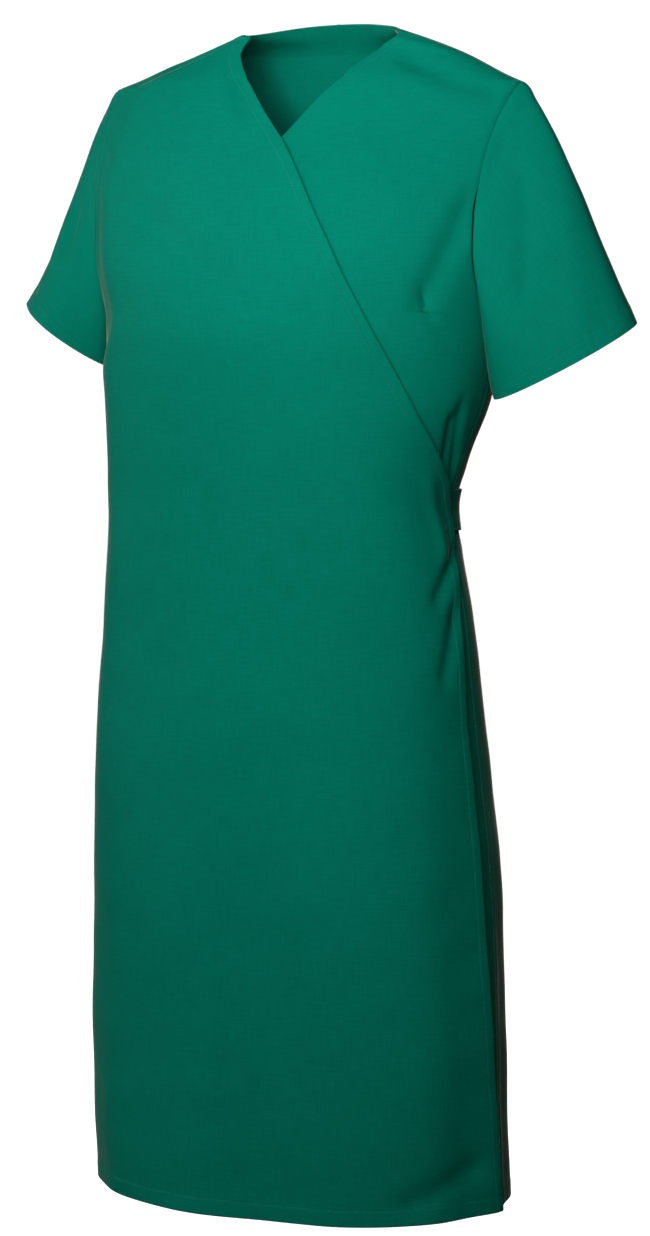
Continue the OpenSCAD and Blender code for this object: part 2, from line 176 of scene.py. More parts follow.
# %% Body outlines
shoulder_drop = 0.045
neck_rise = 0.013
armhole_low = 0.258
waist_depth = 0.433
wrap_lift = 4.5 * MM
neck_half = {"right": 0.070, "left": 0.080}
side_measures = {
    "right": [(0.045, 0.200), (0.090, 0.218), (0.135, 0.223), (0.200, 0.213), (0.258, 0.197),
              (0.433, 0.195), (0.700, 0.207), (0.860, 0.207), (1.062, 0.200)],
    "left": [(0.045, 0.205), (0.110, 0.203), (0.180, 0.197), (0.258, 0.184), (0.330, 0.170), (0.390, 0.148),
             (0.433, 0.137), (0.500, 0.147), (0.640, 0.164), (0.830, 0.181), (1.062, 0.189)],
}
front_measures = [(0, 0.004), (0.020, 0.015), (0.045, 0.035), (0.095, 0.062), (0.170, 0.102), (0.230, 0.119),
                  (0.270, 0.121), (0.330, 0.114), (0.433, 0.106), (0.640, 0.121), (1.062, 0.140)]
back_measures = [(-0.013, 0.060), (0, 0.066), (0.045, 0.084), (0.110, 0.099), (0.190, 0.103),
                 (0.330, 0.092), (0.433, 0.087), (0.640, 0.118), (1.062, 0.128)]
edge_measures = [(0, 5), (0.0042, 46), (0.0106, 53), (0.0196, 60), (0.030, 68), (0.0428, 75.2), (0.0562, 79.6),
                 (0.102, 90.5), (0.215, 110.6), (0.302, 130), (0.343, 141.7), (0.374, 155.6), (0.412, 174),
                 (0.450, 179.5), (0.500, 176), (0.555, 173), (0.693, 170.5), (0.790, 170.5), (0.986, 173.7),
                 (1.062, 175)]
underlap_measures = [(0, 5), (0.016, 52), (0.041, 75)] + edge_measures[7:]


def curve_through(measures):
    """A smooth curve through the measures that never overshoots them."""
    x, y = np.array(measures, float).T
    h = np.diff(x)
    secant = np.diff(y) / h
    slope = np.zeros(len(x))
    same_way = secant[:-1] * secant[1:] > 0
    both = np.where(same_way, secant[:-1] + secant[1:], 1)
    slope[1:-1] = np.where(same_way, 2 * secant[:-1] * secant[1:] / both, 0)
    slope[0], slope[-1] = secant[0], secant[-1]

    def at(value):
        value = np.clip(np.asarray(value, float), x[0], x[-1])
        i = np.clip(np.searchsorted(x, value) - 1, 0, len(h) - 1)
        t = (value - x[i]) / h[i]
        return ((2 * t**3 - 3 * t**2 + 1) * y[i] + (t**3 - 2 * t**2 + t) * slope[i] * h[i]
                + (3 * t**2 - 2 * t**3) * y[i + 1] + (t**3 - t**2) * slope[i + 1] * h[i])

    return at


side_curve = {side: curve_through(measures) for side, measures in side_measures.items()}
front_curve = curve_through(front_measures)
back_curve = curve_through(back_measures)
edge_curve = curve_through(edge_measures)
underlap_curve = curve_through(underlap_measures)


def ease(t):
    """0 to 1, with a soft start and end."""
    t = np.clip(t, 0, 1)
    return t * t * (3 - 2 * t)


def half_width(depth, side):
    tip = side_measures[side][0][1]
    on_shoulder = neck_half[side] + (tip - neck_half[side]) * np.clip(depth / shoulder_drop, 0, 1)
    return np.where(depth < shoulder_drop, on_shoulder, side_curve[side](depth))


def roundness(depth):
    """The power of the outline: 2 is an ellipse, and more is squarer."""
    upper, lower = np.clip((depth - shoulder_drop) / 0.075, 0, 1), np.clip((depth - 0.120) / 0.080, 0, 1)
    return 2 + 0.15 * upper + 0.15 * lower


shoulder_sag, shoulder_softness = 0.008, 0.042


def body_point(turn, depth):
    """Points of the body for turns in degrees and depths in metres. The left shoulder's tip sags a little."""
    turn, depth = np.broadcast_arrays(np.asarray(turn, float), np.asarray(depth, float))
    c, s = np.cos(np.radians(turn)), np.sin(np.radians(turn))
    p = 2 / roundness(depth)
    a = np.where(c >= 0, half_width(depth, "left"), half_width(depth, "right"))
    b = np.where(s >= 0, back_curve(depth), front_curve(depth))
    x = a * signed_power(c, p)
    sag = shoulder_sag * np.exp(-((x - 0.207) ** 2 + (depth - shoulder_drop) ** 2) / shoulder_softness**2)
    return np.stack([x, b * signed_power(s, p), -depth - sag], -1)


def body_normal(turn, depth):
    turn, depth = np.broadcast_arrays(np.asarray(turn, float), np.asarray(depth, float))
    ridge = np.where(np.cos(np.radians(turn)) > 0, 0, np.where(turn < 0, -180, 180))
    near = np.where(np.abs(np.sin(np.radians(turn))) < 0.02, ridge, turn)
    along = body_point(turn + 0.5, depth) - body_point(turn - 0.5, depth)
    down = body_point(near, depth + 0.01 * MM) - body_point(near, depth - 0.01 * MM)
    return unit(np.cross(down, along))


print("waist", round(float(sum(half_width(waist_depth, side) for side in side_measures)), 3), "m wide")

# %% [markdown]
# ## Folds
# A pressed gown has few folds, and each has a cause: the arm pulls cloth towards the armpit, the tie
# gathers it at the waist, and a dart or a seam draws it in. A fold is kept as a short line across the
# body, with a width and a height, and cloth near the line is raised or sunk. Both layers of the wrap read
# the same folds, so the layers lie on each other and never cross. A cloth simulation would give more
# folds than this crisp cloth shows, and in the wrong places, so the folds are listed one by one.

# %% Fold lines: the points the fold passes through, its half width and its height, in mm
fold_lines = [
    ([(-136, -76, -161), (-91, -102, -192), (-49, -117, -222), (-16, -121, -240)], 20, -4.5),
    ([(-197, -19, -114), (-180, -45, -145), (-161, -67, -173)], 8, 4),
    ([(182, -42, -145), (168, -63, -190), (152, -80, -235), (142, -90, -265)], 12, -3.6),
    ([(93, -16, -26), (149, -26, -50), (193, -15, -60)], 12, -3.5),
    ([(82, -6, -10), (112, -7, -18), (142, -6, -26)], 4, 1.2),
    ([(-59, -29, -38), (-36, -54, -81)], 10, -3),
    ([(158, -41, -345), (150, -33, -372), (143, -25, -399)], 5, -3.5),
    ([(164, -36, -333), (153, -23, -368), (143, -9, -403)], 5, -3),
    ([(135, -51, -392), (135, -28, -449), (142, -27, -486)], 7, 2),
    ([(140, -1, -464), (143, -24, -487), (139, -49, -520)], 7, -3.5),
    ([(148, -18, -513), (149, -33, -547), (149, -49, -591)], 8, -3),
    ([(186, -30, -1012), (158, -80, -1034), (128, -110, -1050)], 12, -3),
    ([(148, -83, -251), (153, -76, -268), (166, -56, -284)], 3.5, -1.8),
    ([(-236, -34, -120), (-228, -40, -160), (-230, -44, -215)], 7, -3.5),
    ([(-262, -20, -150), (-266, -30, -210), (-272, -36, -275)], 10, -2.5),
    ([(222, -36, -130), (226, -42, -190), (228, -46, -255)], 10, -3.5),
    ([(258, -26, -150), (268, -36, -215), (276, -42, -285)], 12, 2),
    ([(148, -84, -236), (150, -82, -248), (150, -81, -262)], 3.5, -3),
    ([(-150, 78, -150), (-110, 94, -200), (-70, 102, -270)], 16, -4),
    ([(150, 72, -150), (112, 92, -200), (75, 101, -270)], 16, -4),
]


def near_line(points, line):
    """Distance of each point to a line of points, and how far along the line it is, 0 to 1."""
    lengths = np.linalg.norm(np.diff(line, axis=0), axis=1)
    starts = np.concatenate([[0], np.cumsum(lengths)[:-1]])
    best = np.full(points.shape[:-1], 1e9)
    along = np.zeros(points.shape[:-1])
    for a, b, length, start in zip(line[:-1], line[1:], lengths, starts):
        t = np.clip(((points - a) @ (b - a)) / length**2, 0, 1)
        gap = np.linalg.norm(points - a - t[..., None] * (b - a), axis=-1)
        closer = gap < best
        best = np.where(closer, gap, best)
        along = np.where(closer, (start + t * length) / lengths.sum(), along)
    return best, along


def slow_noise(points, scale, seed):
    """Smooth unevenness between -1 and 1."""
    flat = points.reshape(-1, 3) * scale + seed * 17.3
    values = np.array([noise.noise(Vector(p)) for p in flat])
    return values.reshape(points.shape[:-1])


tie_half = 0.019
fold_strength = 1.4


def fold_height(points):
    """How far cloth stands out from the body at each point, from all its folds."""
    height = 0.0026 * slow_noise(points, 9, 1) + 0.0008 * slow_noise(points, 26, 2)
    for line, width, rise in fold_lines:
        gap, along = near_line(points, np.array(line) * MM)
        ends = ease(along * 4 + 0.25) * ease((1 - along) * 4 + 0.25)
        height = height + fold_strength * rise * MM * np.exp(-(gap / (width * MM)) ** 2) * ends
    x, y, depth = points[..., 0], points[..., 1], -points[..., 2]
    turn = np.arctan2(y / 0.1, x / 0.17)
    from_tie = np.abs(depth - waist_depth) - tie_half
    puff = ease(from_tie / 0.016) * np.exp(-np.maximum(from_tie, 0) / 0.055)
    on_back = ease((np.sin(turn) - 0.3) / 0.5)
    height = height + on_back * puff * 0.0034 * (1.1 + np.cos(turn * 15) + 0.6 * np.cos(turn * 23 + 1))
    low = ease((depth - 0.50) / 0.5)
    on_body = np.abs(x) < 0.30
    return height + on_body * low * (0.0022 * np.cos(turn * 7 + 0.8) + 0.0012 * np.cos(turn * 12 + 2.2))


print(len(fold_lines), "fold lines")

# %% [markdown]
# ## Cutting and sewing a panel
# A panel is a grid of points: rows go down the body and columns go round it, about 5 mm apart, and closer
# at the edges, where a hem, a seam and its stitches need them. A free edge is turned under: the grid goes
# out to the fold, round it, and back beneath, as the real cloth does. At a seam the edge dips, so that
# two panels meet in a fine groove. Each point also keeps its place in the flat cloth as its UV, in
# metres, so that the weave runs straight. The thickness is added last.

# %% Edges
fold_radius = 0.8
cloth_thickness = 0.7 * MM
seam_gap = 0.02 * MM


def turned_edge(width):
    """From the raw end beneath, round the fold, to the flat cloth.

    Each is a distance from the fold and a depth below the face, in mm.
    """
    beneath = [(width - 0.5, 2 * fold_radius), (width * 0.5, 2 * fold_radius), (2.4, 2 * fold_radius)]
    bend = [(fold_radius * (1 - math.sin(math.radians(a))), fold_radius * (1 - math.cos(math.radians(a))))
            for a in (180, 145, 110, 90, 70, 35, 0)]
    face = [1.8, 3.2, *(width + step for step in (-2.6, -1.3, -0.7, -0.2, 0.4, 1.2, 3, 6))]
    return beneath + bend + [(d, 0) for d in sorted(face) if d > fold_radius + 0.4]


def seam_edge():
    return [(d, 0) for d in (0, 0.4, 0.9, 1.6, 2.8, 4.6, 8)]


def waviness(along, seed):
    """Uneven puckers along a seam, from -1 to 1, for a length in mm."""
    return (np.sin(along / 1.31 + seed) + np.sin(along / 2.17 + 2 * seed) + np.sin(along / 3.9 + 3 * seed)) / 3


def hem_relief(inset, along, width, seed):
    """Height of a stitched hem: the doubled cloth, the groove under the stitches, and its puckers."""
    doubled = 0.32 * (1 - ease((inset - width) / 1.4))
    groove = -0.42 * np.exp(-((inset - width + 0.3) / 0.8) ** 2)
    pucker = 0.34 * waviness(along, seed) * np.exp(-((inset - width) / 6) ** 2)
    return (doubled + groove + pucker) * MM


def seam_relief(inset, along, seed):
    """A seam dips at its line, and the allowances beneath raise the cloth beside it."""
    dip = -0.55 * np.exp(-inset / 0.8)
    beside = 0.45 * np.exp(-((inset - 4) / 3.5) ** 2)
    pucker = 0.22 * waviness(along, seed) * np.exp(-inset / 5)
    return (dip + beside + pucker) * MM


print("turned edge of", len(turned_edge(10)), "columns")


# %% From a grid to cloth
def cloth_from_grid(name, grid, uv, closed=False, thickness=cloth_thickness):
    """A smooth sheet through a grid of points, thickened inwards."""
    rows, cols = grid.shape[:2]
    mesh = bpy.data.meshes.new(name)
    i, j = np.meshgrid(np.arange(rows - 1), np.arange(cols if closed else cols - 1), indexing="ij")
    k = (j + 1) % cols
    quads = np.stack([i * cols + j, (i + 1) * cols + j, (i + 1) * cols + k, i * cols + k], -1).reshape(-1, 4)
    mesh.from_pydata(grid.reshape(-1, 3).tolist(), [], quads.tolist())
    layer = mesh.uv_layers.new(name="cloth")
    places = uv.reshape(-1, 2)[quads.ravel()]
    if closed:
        wide = np.repeat((j == cols - 1).ravel(), 4) & np.tile([False, False, True, True], len(quads))
        seam_step = np.linalg.norm(grid[:, 0] - grid[:, -1], axis=-1).mean()
        places[wide, 0] = uv[..., 0].max() + seam_step
    layer.data.foreach_set("uv", places.ravel().astype(np.float32))
    piece = bpy.data.objects.new(name, mesh)
    bpy.context.scene.collection.objects.link(piece)
    bpy.ops.object.select_all(action="DESELECT")
    piece.select_set(True)
    bpy.context.view_layer.objects.active = piece
    wall = piece.modifiers.new("thickness", "SOLIDIFY")
    wall.thickness = thickness
    wall.offset = -1
    bpy.ops.object.modifier_apply(modifier=wall.name)
    bpy.ops.object.shade_smooth_by_angle(angle=math.radians(50))
    return piece


def row_lengths(grid):
    """Length along each row of a grid, up to each of its points."""
    step = np.linalg.norm(np.diff(grid, axis=1), axis=-1)
    return np.concatenate([np.zeros((len(grid), 1)), np.cumsum(step, 1)], 1)


def line_lengths(points):
    return row_lengths(points[None])[0]


def flat_size(grid, closed=False):
    """Width, length and area of the cloth in a grid, laid flat."""
    across = np.linalg.norm(np.diff(grid, axis=1), axis=-1)
    down = np.linalg.norm(np.diff(grid, axis=0), axis=-1)
    if closed:
        across = np.concatenate([across, np.linalg.norm(grid[:, :1] - grid[:, -1:], axis=-1)], 1)
    width, length = across.sum(1).max(), down.sum(0).max()
    a, b = grid[1:, 1:] - grid[:-1, :-1], grid[1:, :-1] - grid[:-1, 1:]
    area = np.linalg.norm(np.cross(a, b), axis=-1).sum() / 2
    return float(width), float(length), float(area)


def declare_cloth(piece, grid, closed=False):
    width, length, area = flat_size(grid, closed)
    width, length = math.ceil(width * 1000) / 1000, math.ceil(length * 1000) / 1000
    area = round(max(area, 0.31 * width * length), 4)
    print(f"{piece.name}: {width:.3f} x {length:.3f} m flat, {area:.3f} m2, {len(piece.data.polygons)} faces")


# %% A panel on the body
steepest_lean = 2.6
hem_fold_width = 15
hem_degree = 3.2
far_from_hem = 99


def edge_lean(depth, turn_of):
    """How much longer a level step is than a step straight across a slanting edge."""
    above, below = depth - 0.5 * MM, depth + 0.5 * MM
    turn = turn_of(depth)
    across = np.linalg.norm(body_point(turn_of(below), depth) - body_point(turn_of(above), depth), axis=-1)
    down = np.linalg.norm(body_point(turn, below) - body_point(turn, above), axis=-1)
    return np.minimum(np.sqrt(1 + (across / down) ** 2), steepest_lean)


def column_turns(depth, turn_of, tracks, middle):
    """Turns of all the columns for rows at these depths, and their distances from both edges, in metres."""
    first, last = turn_of[0](depth), turn_of[1](depth)
    fine = first[:, None] + (last - first)[:, None] * np.linspace(0, 1, 361)
    arc = row_lengths(body_point(fine, depth[:, None]))
    total = arc[:, -1:]
    places = []
    for side in (0, 1):
        track = np.array([d for d, under in tracks[side]]) * MM
        lean = edge_lean(depth, turn_of[side])[:, None]
        room = np.minimum(1, 0.42 * total / (track.max() * lean))
        places.append(track * lean * room)
    inner = np.linspace(0, 1, middle + 2)[1:-1]
    low, high = places[0].max(1, keepdims=True), total - places[1].max(1, keepdims=True)
    along = np.concatenate([places[0], low + (high - low) * inner, total - places[1][:, ::-1]], 1)
    turns = np.stack([np.interp(s, a, t) for s, a, t in zip(along, arc, fine)])
    lean = [edge_lean(depth, t)[:, None] for t in turn_of]
    return turns, along / lean[0], (total - along) / lean[1]


def body_panel(name, rows, turn_of, tracks, edge_kinds, lift, middle, widths=(10, 10),
               hem_width=hem_fold_width, neck=None):
    """One cut piece on the body, with its flat size printed.

    rows are depth, depth below the face, distance from the hem fold and share of the neck rise. turn_of gives
    both edges, and lift is how far out the cloth lies.
    """
    depth = np.array([r[0] for r in rows])
    turns, from_first, from_last = column_turns(depth, turn_of, tracks, middle)
    depths = np.repeat(depth[:, None], turns.shape[1], 1)
    if neck is not None:
        depths = depths + neck(turns, np.array([r[3] for r in rows])[:, None])
    row_under = np.array([r[1] for r in rows])[:, None]
    from_hem = np.array([r[2] for r in rows])[:, None] + 0 * turns
    unders = np.concatenate([[u for d, u in tracks[0]], np.zeros(middle), [u for d, u in tracks[1]][::-1]])
    base, normal = body_point(turns, depths), body_normal(turns, depths)
    height = lift(turns, depths) + fold_height(base)
    down = depths / MM
    for kind, inset, width, seed in zip(edge_kinds, (from_first, from_last), widths, (1, 2)):
        if kind == "turned":
            height = height + hem_relief(inset / MM, down, width, seed)
        elif kind == "seam":
            height = height + seam_relief(inset / MM, down, seed)
    if hem_width:
        height = height + hem_relief(from_hem / MM, turns * hem_degree, hem_width, 3)
    grid = base + normal * (height - (row_under + unders) * MM)[..., None]
    middle_turn = -90 if turns.mean() < 0 else 90
    across = row_lengths(grid)
    centre = np.array([np.interp(middle_turn, t, a) for t, a in zip(turns, across)])
    length = line_lengths(grid[:, turns.shape[1] // 2])
    uv = np.stack([across - centre[:, None], -length[:, None] + 0 * across], -1)
    piece = cloth_from_grid(name, grid, uv)
    declare_cloth(piece, grid)
    return piece


def hem_rows(depths):
    """Rows down to a turned hem: depth, depth below the face, distance from the fold, no neck rise."""
    track = turned_edge(hem_fold_width)[::-1]
    body = [(d, 0, gown_length - d, 0) for d in depths if d < gown_length - (track[0][0] + 1) * MM]
    return body + [(gown_length - d * MM, under, d * MM, 0) for d, under in track]


close_rows = [0.045, 0.0453, 0.0458, 0.0465, 0.0475, 0.049, 0.051, 0.0535,
              0.250, 0.2525, 0.2545, 0.256, 0.257, 0.2575, 0.258]
even_rows = [np.arange(*span) for span in ((0.0006, 0.045, 0.0016), (0.056, 0.250, 0.005),
                                           (0.262, 1.06, 0.005))]
long_depths = sorted(set(np.round(np.concatenate([close_rows, *even_rows]), 4)))
print(len(long_depths), "rows in a full panel")

# %% [markdown]
# ## The body of the gown
# Four seams join three big pieces: the wearer's right front, which lies on top and wraps over to the left
# hip, the left front beneath it, and the back. The top front is one sheet here, though the imported part
# splits it so that its lower corner can swing.

# %% Edges of the pieces
armhole_half = 0.1065
armhole_middle = shoulder_drop + armhole_half
armhole_power = 2.2
armhole_reach = 26
underlap_turn = 165
slit_half = 0.024
slit_turn = 9.5
rise_turn = 14


def side_turn(depth, curve):
    """How far from the side a panel starts: at the seam, or further in at the armhole."""
    seam = np.degrees(np.arcsin(np.minimum(seam_gap / curve(depth), 0.5) ** (roundness(depth) / 2)))
    share = np.minimum(np.abs(depth - armhole_middle) / armhole_half, 1)
    return np.maximum(seam, armhole_reach * (1 - share**armhole_power) ** (1 / armhole_power))


def right_side(depth):
    return -180 + side_turn(depth, front_curve)


def left_side(depth):
    return -side_turn(depth, front_curve)


def back_left_side(depth):
    return side_turn(depth, back_curve)


def overlap_edge(depth):
    return -180 + edge_curve(depth)


def underlap_edge(depth):
    return -np.minimum(underlap_curve(depth), underlap_turn)


def back_right_side(depth):
    slit = slit_turn * (1 - np.minimum(np.abs(depth - waist_depth) / slit_half, 1) ** 6) ** (1 / 6)
    return 180 - back_left_side(depth) - slit


def overlap_lift(turn, depth):
    """Level with the back at the right side, over the underlap from there on, and off it at the free edge."""
    start = 28 * (1 - ease((depth - armhole_low) / 0.080))
    stand_off = 2.5 * MM * ease((depth - 0.48) / 0.5) * ease((turn - overlap_edge(depth) + 26) / 26) ** 1.5
    return wrap_lift * ease((turn + 180 - start) / rise_turn) + stand_off


def no_lift(turn, depth):
    return 0 * turn


print("overlap lies", wrap_lift / MM, "mm out")

# %% Right front, on top
seam, fold_10 = seam_edge(), turned_edge(10)
front_right = body_panel("front_right", hem_rows(long_depths), (right_side, overlap_edge), (seam, fold_10),
                         ("seam", "turned"), overlap_lift, 104)

# %% Left front, beneath
fold_7 = turned_edge(7)
front_left = body_panel("front_left", hem_rows(long_depths), (underlap_edge, left_side), (fold_7, seam),
                        ("turned", "seam"), no_lift, 96, widths=(7, 7))

# %% Back
slit_rows = [0.4091, 0.4094, 0.4100, 0.4112, 0.4130, 0.4530, 0.4548, 0.4560, 0.4566, 0.4569]
back_depths = sorted(set(long_depths + slit_rows))
neck_rise_of = turned_edge(5)
neck_line = 2 * MM
neck_fade = 15


def back_neck(turns, share):
    """The back neck stands higher than the neck points, most at the middle."""
    height = np.clip(np.sin(np.radians(turns)), 0, 1) ** 1.5
    return -(neck_line + neck_rise * height) * share


neck_rows = [(neck_line, under, far_from_hem, 1 - min(d, 12) / neck_fade) for d, under in neck_rise_of]
neck_rows += [(neck_line, 0, far_from_hem, share) for share in (0.15, 0.07)]
back_body = [(d, u, h, 0) for d, u, h, s in hem_rows([d for d in back_depths if d >= neck_line])]
back = body_panel("back", neck_rows + back_body, (back_left_side, back_right_side), (seam, seam),
                  ("seam", "seam"), no_lift, 104, neck=back_neck)

# %% [markdown]
# ## Sleeves
# A set-in sleeve is a tube that leaves the armhole steeply and turns down to its hem. Each line from the
# armhole to the hem is one smooth curve that starts in the direction the shoulder gives it, and ends
# along the sleeve. The hem is turned up 19 mm and stitched. The right sleeve is worked out as a left one,
# then mirrored.

# %% Sleeve form
hem_middle = {1: np.array([0.247, 0, -0.300]), -1: np.array([0.247, 0, -0.273])}
hem_half = {1: 0.071, -1: 0.054}
hem_back = {1: np.array([0, 0.043, 0.015]), -1: np.array([0, 0.057, -0.005])}
sleeve_lean = {1: math.radians(25), -1: math.radians(36)}
sleeve_gap = -0.7 * MM
sleeve_hem_width = 19
sleeve_degree = 400 / 360


def sleeve_point(a, t, side):
    """A point of the sleeve: a is 0 on top and 90 at the back, t is 0 at the armhole and 1 at the hem."""
    a, t = np.broadcast_arrays(a, t)
    c, s = np.cos(np.radians(a)), np.sin(np.radians(a))
    depth = armhole_middle - armhole_half * signed_power(c, 2 / armhole_power)
    turn = armhole_reach * signed_power(s, 2 / armhole_power)
    armhole = body_point(turn if side > 0 else 180 - turn, depth)
    p = armhole * np.array([side, 1, 1]) + np.array([sleeve_gap, 0, 0])
    lean = sleeve_lean[side]
    across, axis = np.array([math.cos(lean), 0, math.sin(lean)]), np.array([math.sin(lean), 0, -math.cos(lean)])
    q = hem_middle[side] + hem_half[side] * c[..., None] * across + s[..., None] * hem_back[side]
    reach = np.linalg.norm(q - p, axis=-1, keepdims=True)
    leave = np.stack([0.43 + 0.33 * c, 0.12 * s, -0.86 + 0.2 * c], -1)
    m, n, t = 0.48 * reach * leave, 0.93 * reach * axis, t[..., None]
    return ((2 * t**3 - 3 * t**2 + 1) * p + (t**3 - 2 * t**2 + t) * m + (3 * t**2 - 2 * t**3) * q
            + (t**3 - t**2) * n)


def sleeve_normal(a, t, side):
    ring = sleeve_point(a + 1, t, side) - sleeve_point(a - 1, t, side)
    down = sleeve_point(a, t + 0.005, side) - sleeve_point(a, t - 0.005, side)
    return unit(np.cross(down, ring))


sleeve_reach = 0.235
print("sleeve hems", [round(2 * half, 3) for half in hem_half.values()], "m across")


# %% Sleeves
def make_sleeve(side, name):
    hem = [(1 - d * MM / sleeve_reach, under, d) for d, under in turned_edge(sleeve_hem_width)[::-1]]
    top = [0, 0.0016, 0.004, 0.008, 0.014, 0.022, 0.032]
    middle = np.linspace(0.045, hem[0][0] - 0.012, 36)
    rows = [(t, 0, (1 - t) * sleeve_reach / MM) for t in [*top, *middle]] + hem
    t = np.array([r[0] for r in rows])[:, None]
    under = np.array([r[1] for r in rows])[:, None] * MM
    from_hem = np.array([r[2] for r in rows])[:, None]
    a = np.arange(0, 360, 2.5)[None, :] + 0 * t
    base = sleeve_point(a, t, side)
    normal = sleeve_normal(a, np.maximum(t, 0.02), side)
    round_sleeve = a * sleeve_degree
    height = hem_relief(from_hem + 0 * a, round_sleeve, sleeve_hem_width, 4)
    from_armhole = t * sleeve_reach / MM + 0 * a
    height = height + seam_relief(from_armhole, round_sleeve, 5) - 0.7 * MM * np.exp(-from_armhole / 1.2)
    cap = np.exp(-((t - 0.055) / 0.05) ** 2) * ease((np.cos(np.radians(a)) + 0.5) / 1.2)
    height = height + 0.0016 * cap * (1 + 0.35 * np.sin(np.radians(a) * 9))
    under_seam = np.abs(a - 180) / 360 * 330
    height = height + seam_relief(under_seam, from_armhole, 6) * (t > 0.01)
    mirror = np.array([side, 1, 1])
    height = height + fold_height(base * mirror) * ease(t / 0.02 + 0.4)
    grid = (base + normal * (height - under)[..., None]) * mirror
    if side < 0:
        grid, a = grid[:, ::-1], a[:, ::-1]
    across, down = row_lengths(grid), line_lengths(grid[:, 10])
    uv = np.stack([across - across[:, -1:] / 2, -down[:, None] + 0 * across], -1)
    piece = cloth_from_grid(name, grid, uv, closed=True)
    return piece, grid


sleeves = {}
for side, name in sides:
    sleeves[name], sleeve_grid = make_sleeve(side, "sleeve_" + name)
    declare_cloth(sleeves[name], sleeve_grid, closed=True)

# %% [markdown]
# ## Facings inside the neck
# A bias edge such as a wrap neckline stretches, so a strip of the same cloth is sewn inside it. Each facing
# is a narrow panel under the first one, with its raw edge free. They show only through the neck, and their
# colour is the gown's painted darker, as shade.

# %% Facings
raw_edge = [(d, 0) for d in (0, 1.5, 4)]
facing_rows = [d for d in long_depths if 0.004 < d < 0.410]
facing_depth = 2.9 * MM


def strip_rows(depths):
    return [(d, 0, far_from_hem, 0) for d in depths]


def at_turn(turn):
    return lambda depth: turn + 0 * depth


def strip(name, rows, turn_of, lift, middle, neck=None):
    """A narrow panel with raw edges at both sides."""
    return body_panel(name, rows, turn_of, (raw_edge, raw_edge), ("raw", "raw"), lift, middle,
                      hem_width=0, neck=neck)


def facing_width(depth):
    return np.minimum(13, 0.5 * edge_curve(depth))


def under_overlap(turn, depth):
    return overlap_lift(turn, depth) - facing_depth


def under_panel(turn, depth):
    return 0 * turn - facing_depth


def neck_facing_drop(turns, share):
    """The facing follows the back neck edge and is deepest at the middle."""
    sine = np.sin(np.radians(turns))
    return -(neck_line + neck_rise * sine**1.5) + share * 0.026 * (0.35 + 0.65 * sine) + 0.001


def behind_neck(turn, depth):
    """Just clear of the turned edge at the top, and against the back lower down."""
    from_top = depth + neck_rise * np.clip(np.sin(np.radians(turn)), 0, 1) ** 1.5
    return (-2.5 + 2.4 * ease((from_top - 0.005) / 0.018)) * MM


front_right_facing = strip(
    "front_right_facing", strip_rows(facing_rows),
    (lambda d: overlap_edge(d) - facing_width(d), lambda d: overlap_edge(d) - 0.9),
    under_overlap, 4)
front_left_facing = strip(
    "front_left_facing", strip_rows([d for d in facing_rows if d < 0.340]),
    (lambda d: underlap_edge(d) + 0.9, lambda d: underlap_edge(d) + facing_width(d)),
    under_panel, 4)
back_neck_facing = strip(
    "back_neck_facing", [(neck_line, 0, far_from_hem, share) for share in np.linspace(0, 1, 9)],
    (at_turn(14), at_turn(166)), behind_neck, 60, neck=neck_facing_drop)
slit_patch = strip("seam_slit_patch", strip_rows(np.linspace(0.401, 0.465, 12)),
                   (at_turn(158.5), at_turn(169)), under_panel, 8)

# %% [markdown]
# ## Ties
# A tie is a band folded lengthways and stitched near both edges. The outer one starts at the overlap's
# edge and goes round the left side to the back, the inner one comes out through a slit in the right side
# seam, and they are tied there in a bow. The bands lie on the body and are pulled flat, so they are
# panels too. The loops and the ends hang free: a loop is a band that goes out and comes back, pinched
# into pleats at the knot.

# %% Bands
tie_rows_track = [(2.2, 1.5), (0.7, 1.5), (0.2, 1.1), (0, 0.7), (0.2, 0.25),
                  (0.8, 0), (1.6, 0), (2.2, 0), (2.9, 0), (4.5, 0)]
tie_top_lift = 2.6 * MM
knot_turn = 84.5


def band_rows():
    top = [(waist_depth - tie_half + d * MM, under, far_from_hem, 0) for d, under in tie_rows_track]
    low = [(waist_depth + tie_half - d * MM, under, far_from_hem, 0) for d, under in tie_rows_track[::-1]]
    return top + strip_rows(waist_depth + np.linspace(0.008 - tie_half, tie_half - 0.008, 6)) + low


def band_relief(turn, depth):
    """Stitched edges, slight pucker and the long soft creases of a pulled band, in metres."""
    inset = (tie_half - np.abs(depth - waist_depth)) / MM
    groove = -0.35 * np.exp(-((inset - 2.2) / 0.6) ** 2)
    pucker = 0.25 * waviness(turn * 3, 7) * np.exp(-((inset - 2.2) / 3) ** 2)
    crease = 0.5 * np.sin(inset * 0.42 + np.radians(turn) * 3) * np.exp(-((turn - 88) / 26) ** 2)
    return (groove + pucker + crease) * MM


def outer_tie_lift(turn, depth):
    tucked = 2.3 * MM
    return tucked + (tie_top_lift - tucked) * ease((turn - 2) / 8) + band_relief(turn, depth)


def inner_tie_lift(turn, depth):
    inside = -2.7 * MM
    return tie_top_lift + (inside - tie_top_lift) * ease((turn - 171.5) / 5.5) + band_relief(turn, depth)


band_start = float(overlap_edge(waist_depth + tie_half)) + 0.6
outer_tie = strip("outer_tie_band", band_rows(), (lambda d: overlap_edge(d) - 2.5, at_turn(knot_turn)),
                  outer_tie_lift, 110)
inner_tie = strip("inner_tie_band", band_rows(), (at_turn(180 - knot_turn), at_turn(194.4)),
                  inner_tie_lift, 130)


# %% Bow
def back_face(x, depth):
    p = roundness(depth)
    return back_curve(depth) * (1 - (np.abs(x) / half_width(depth, "left")) ** p) ** (1 / p)


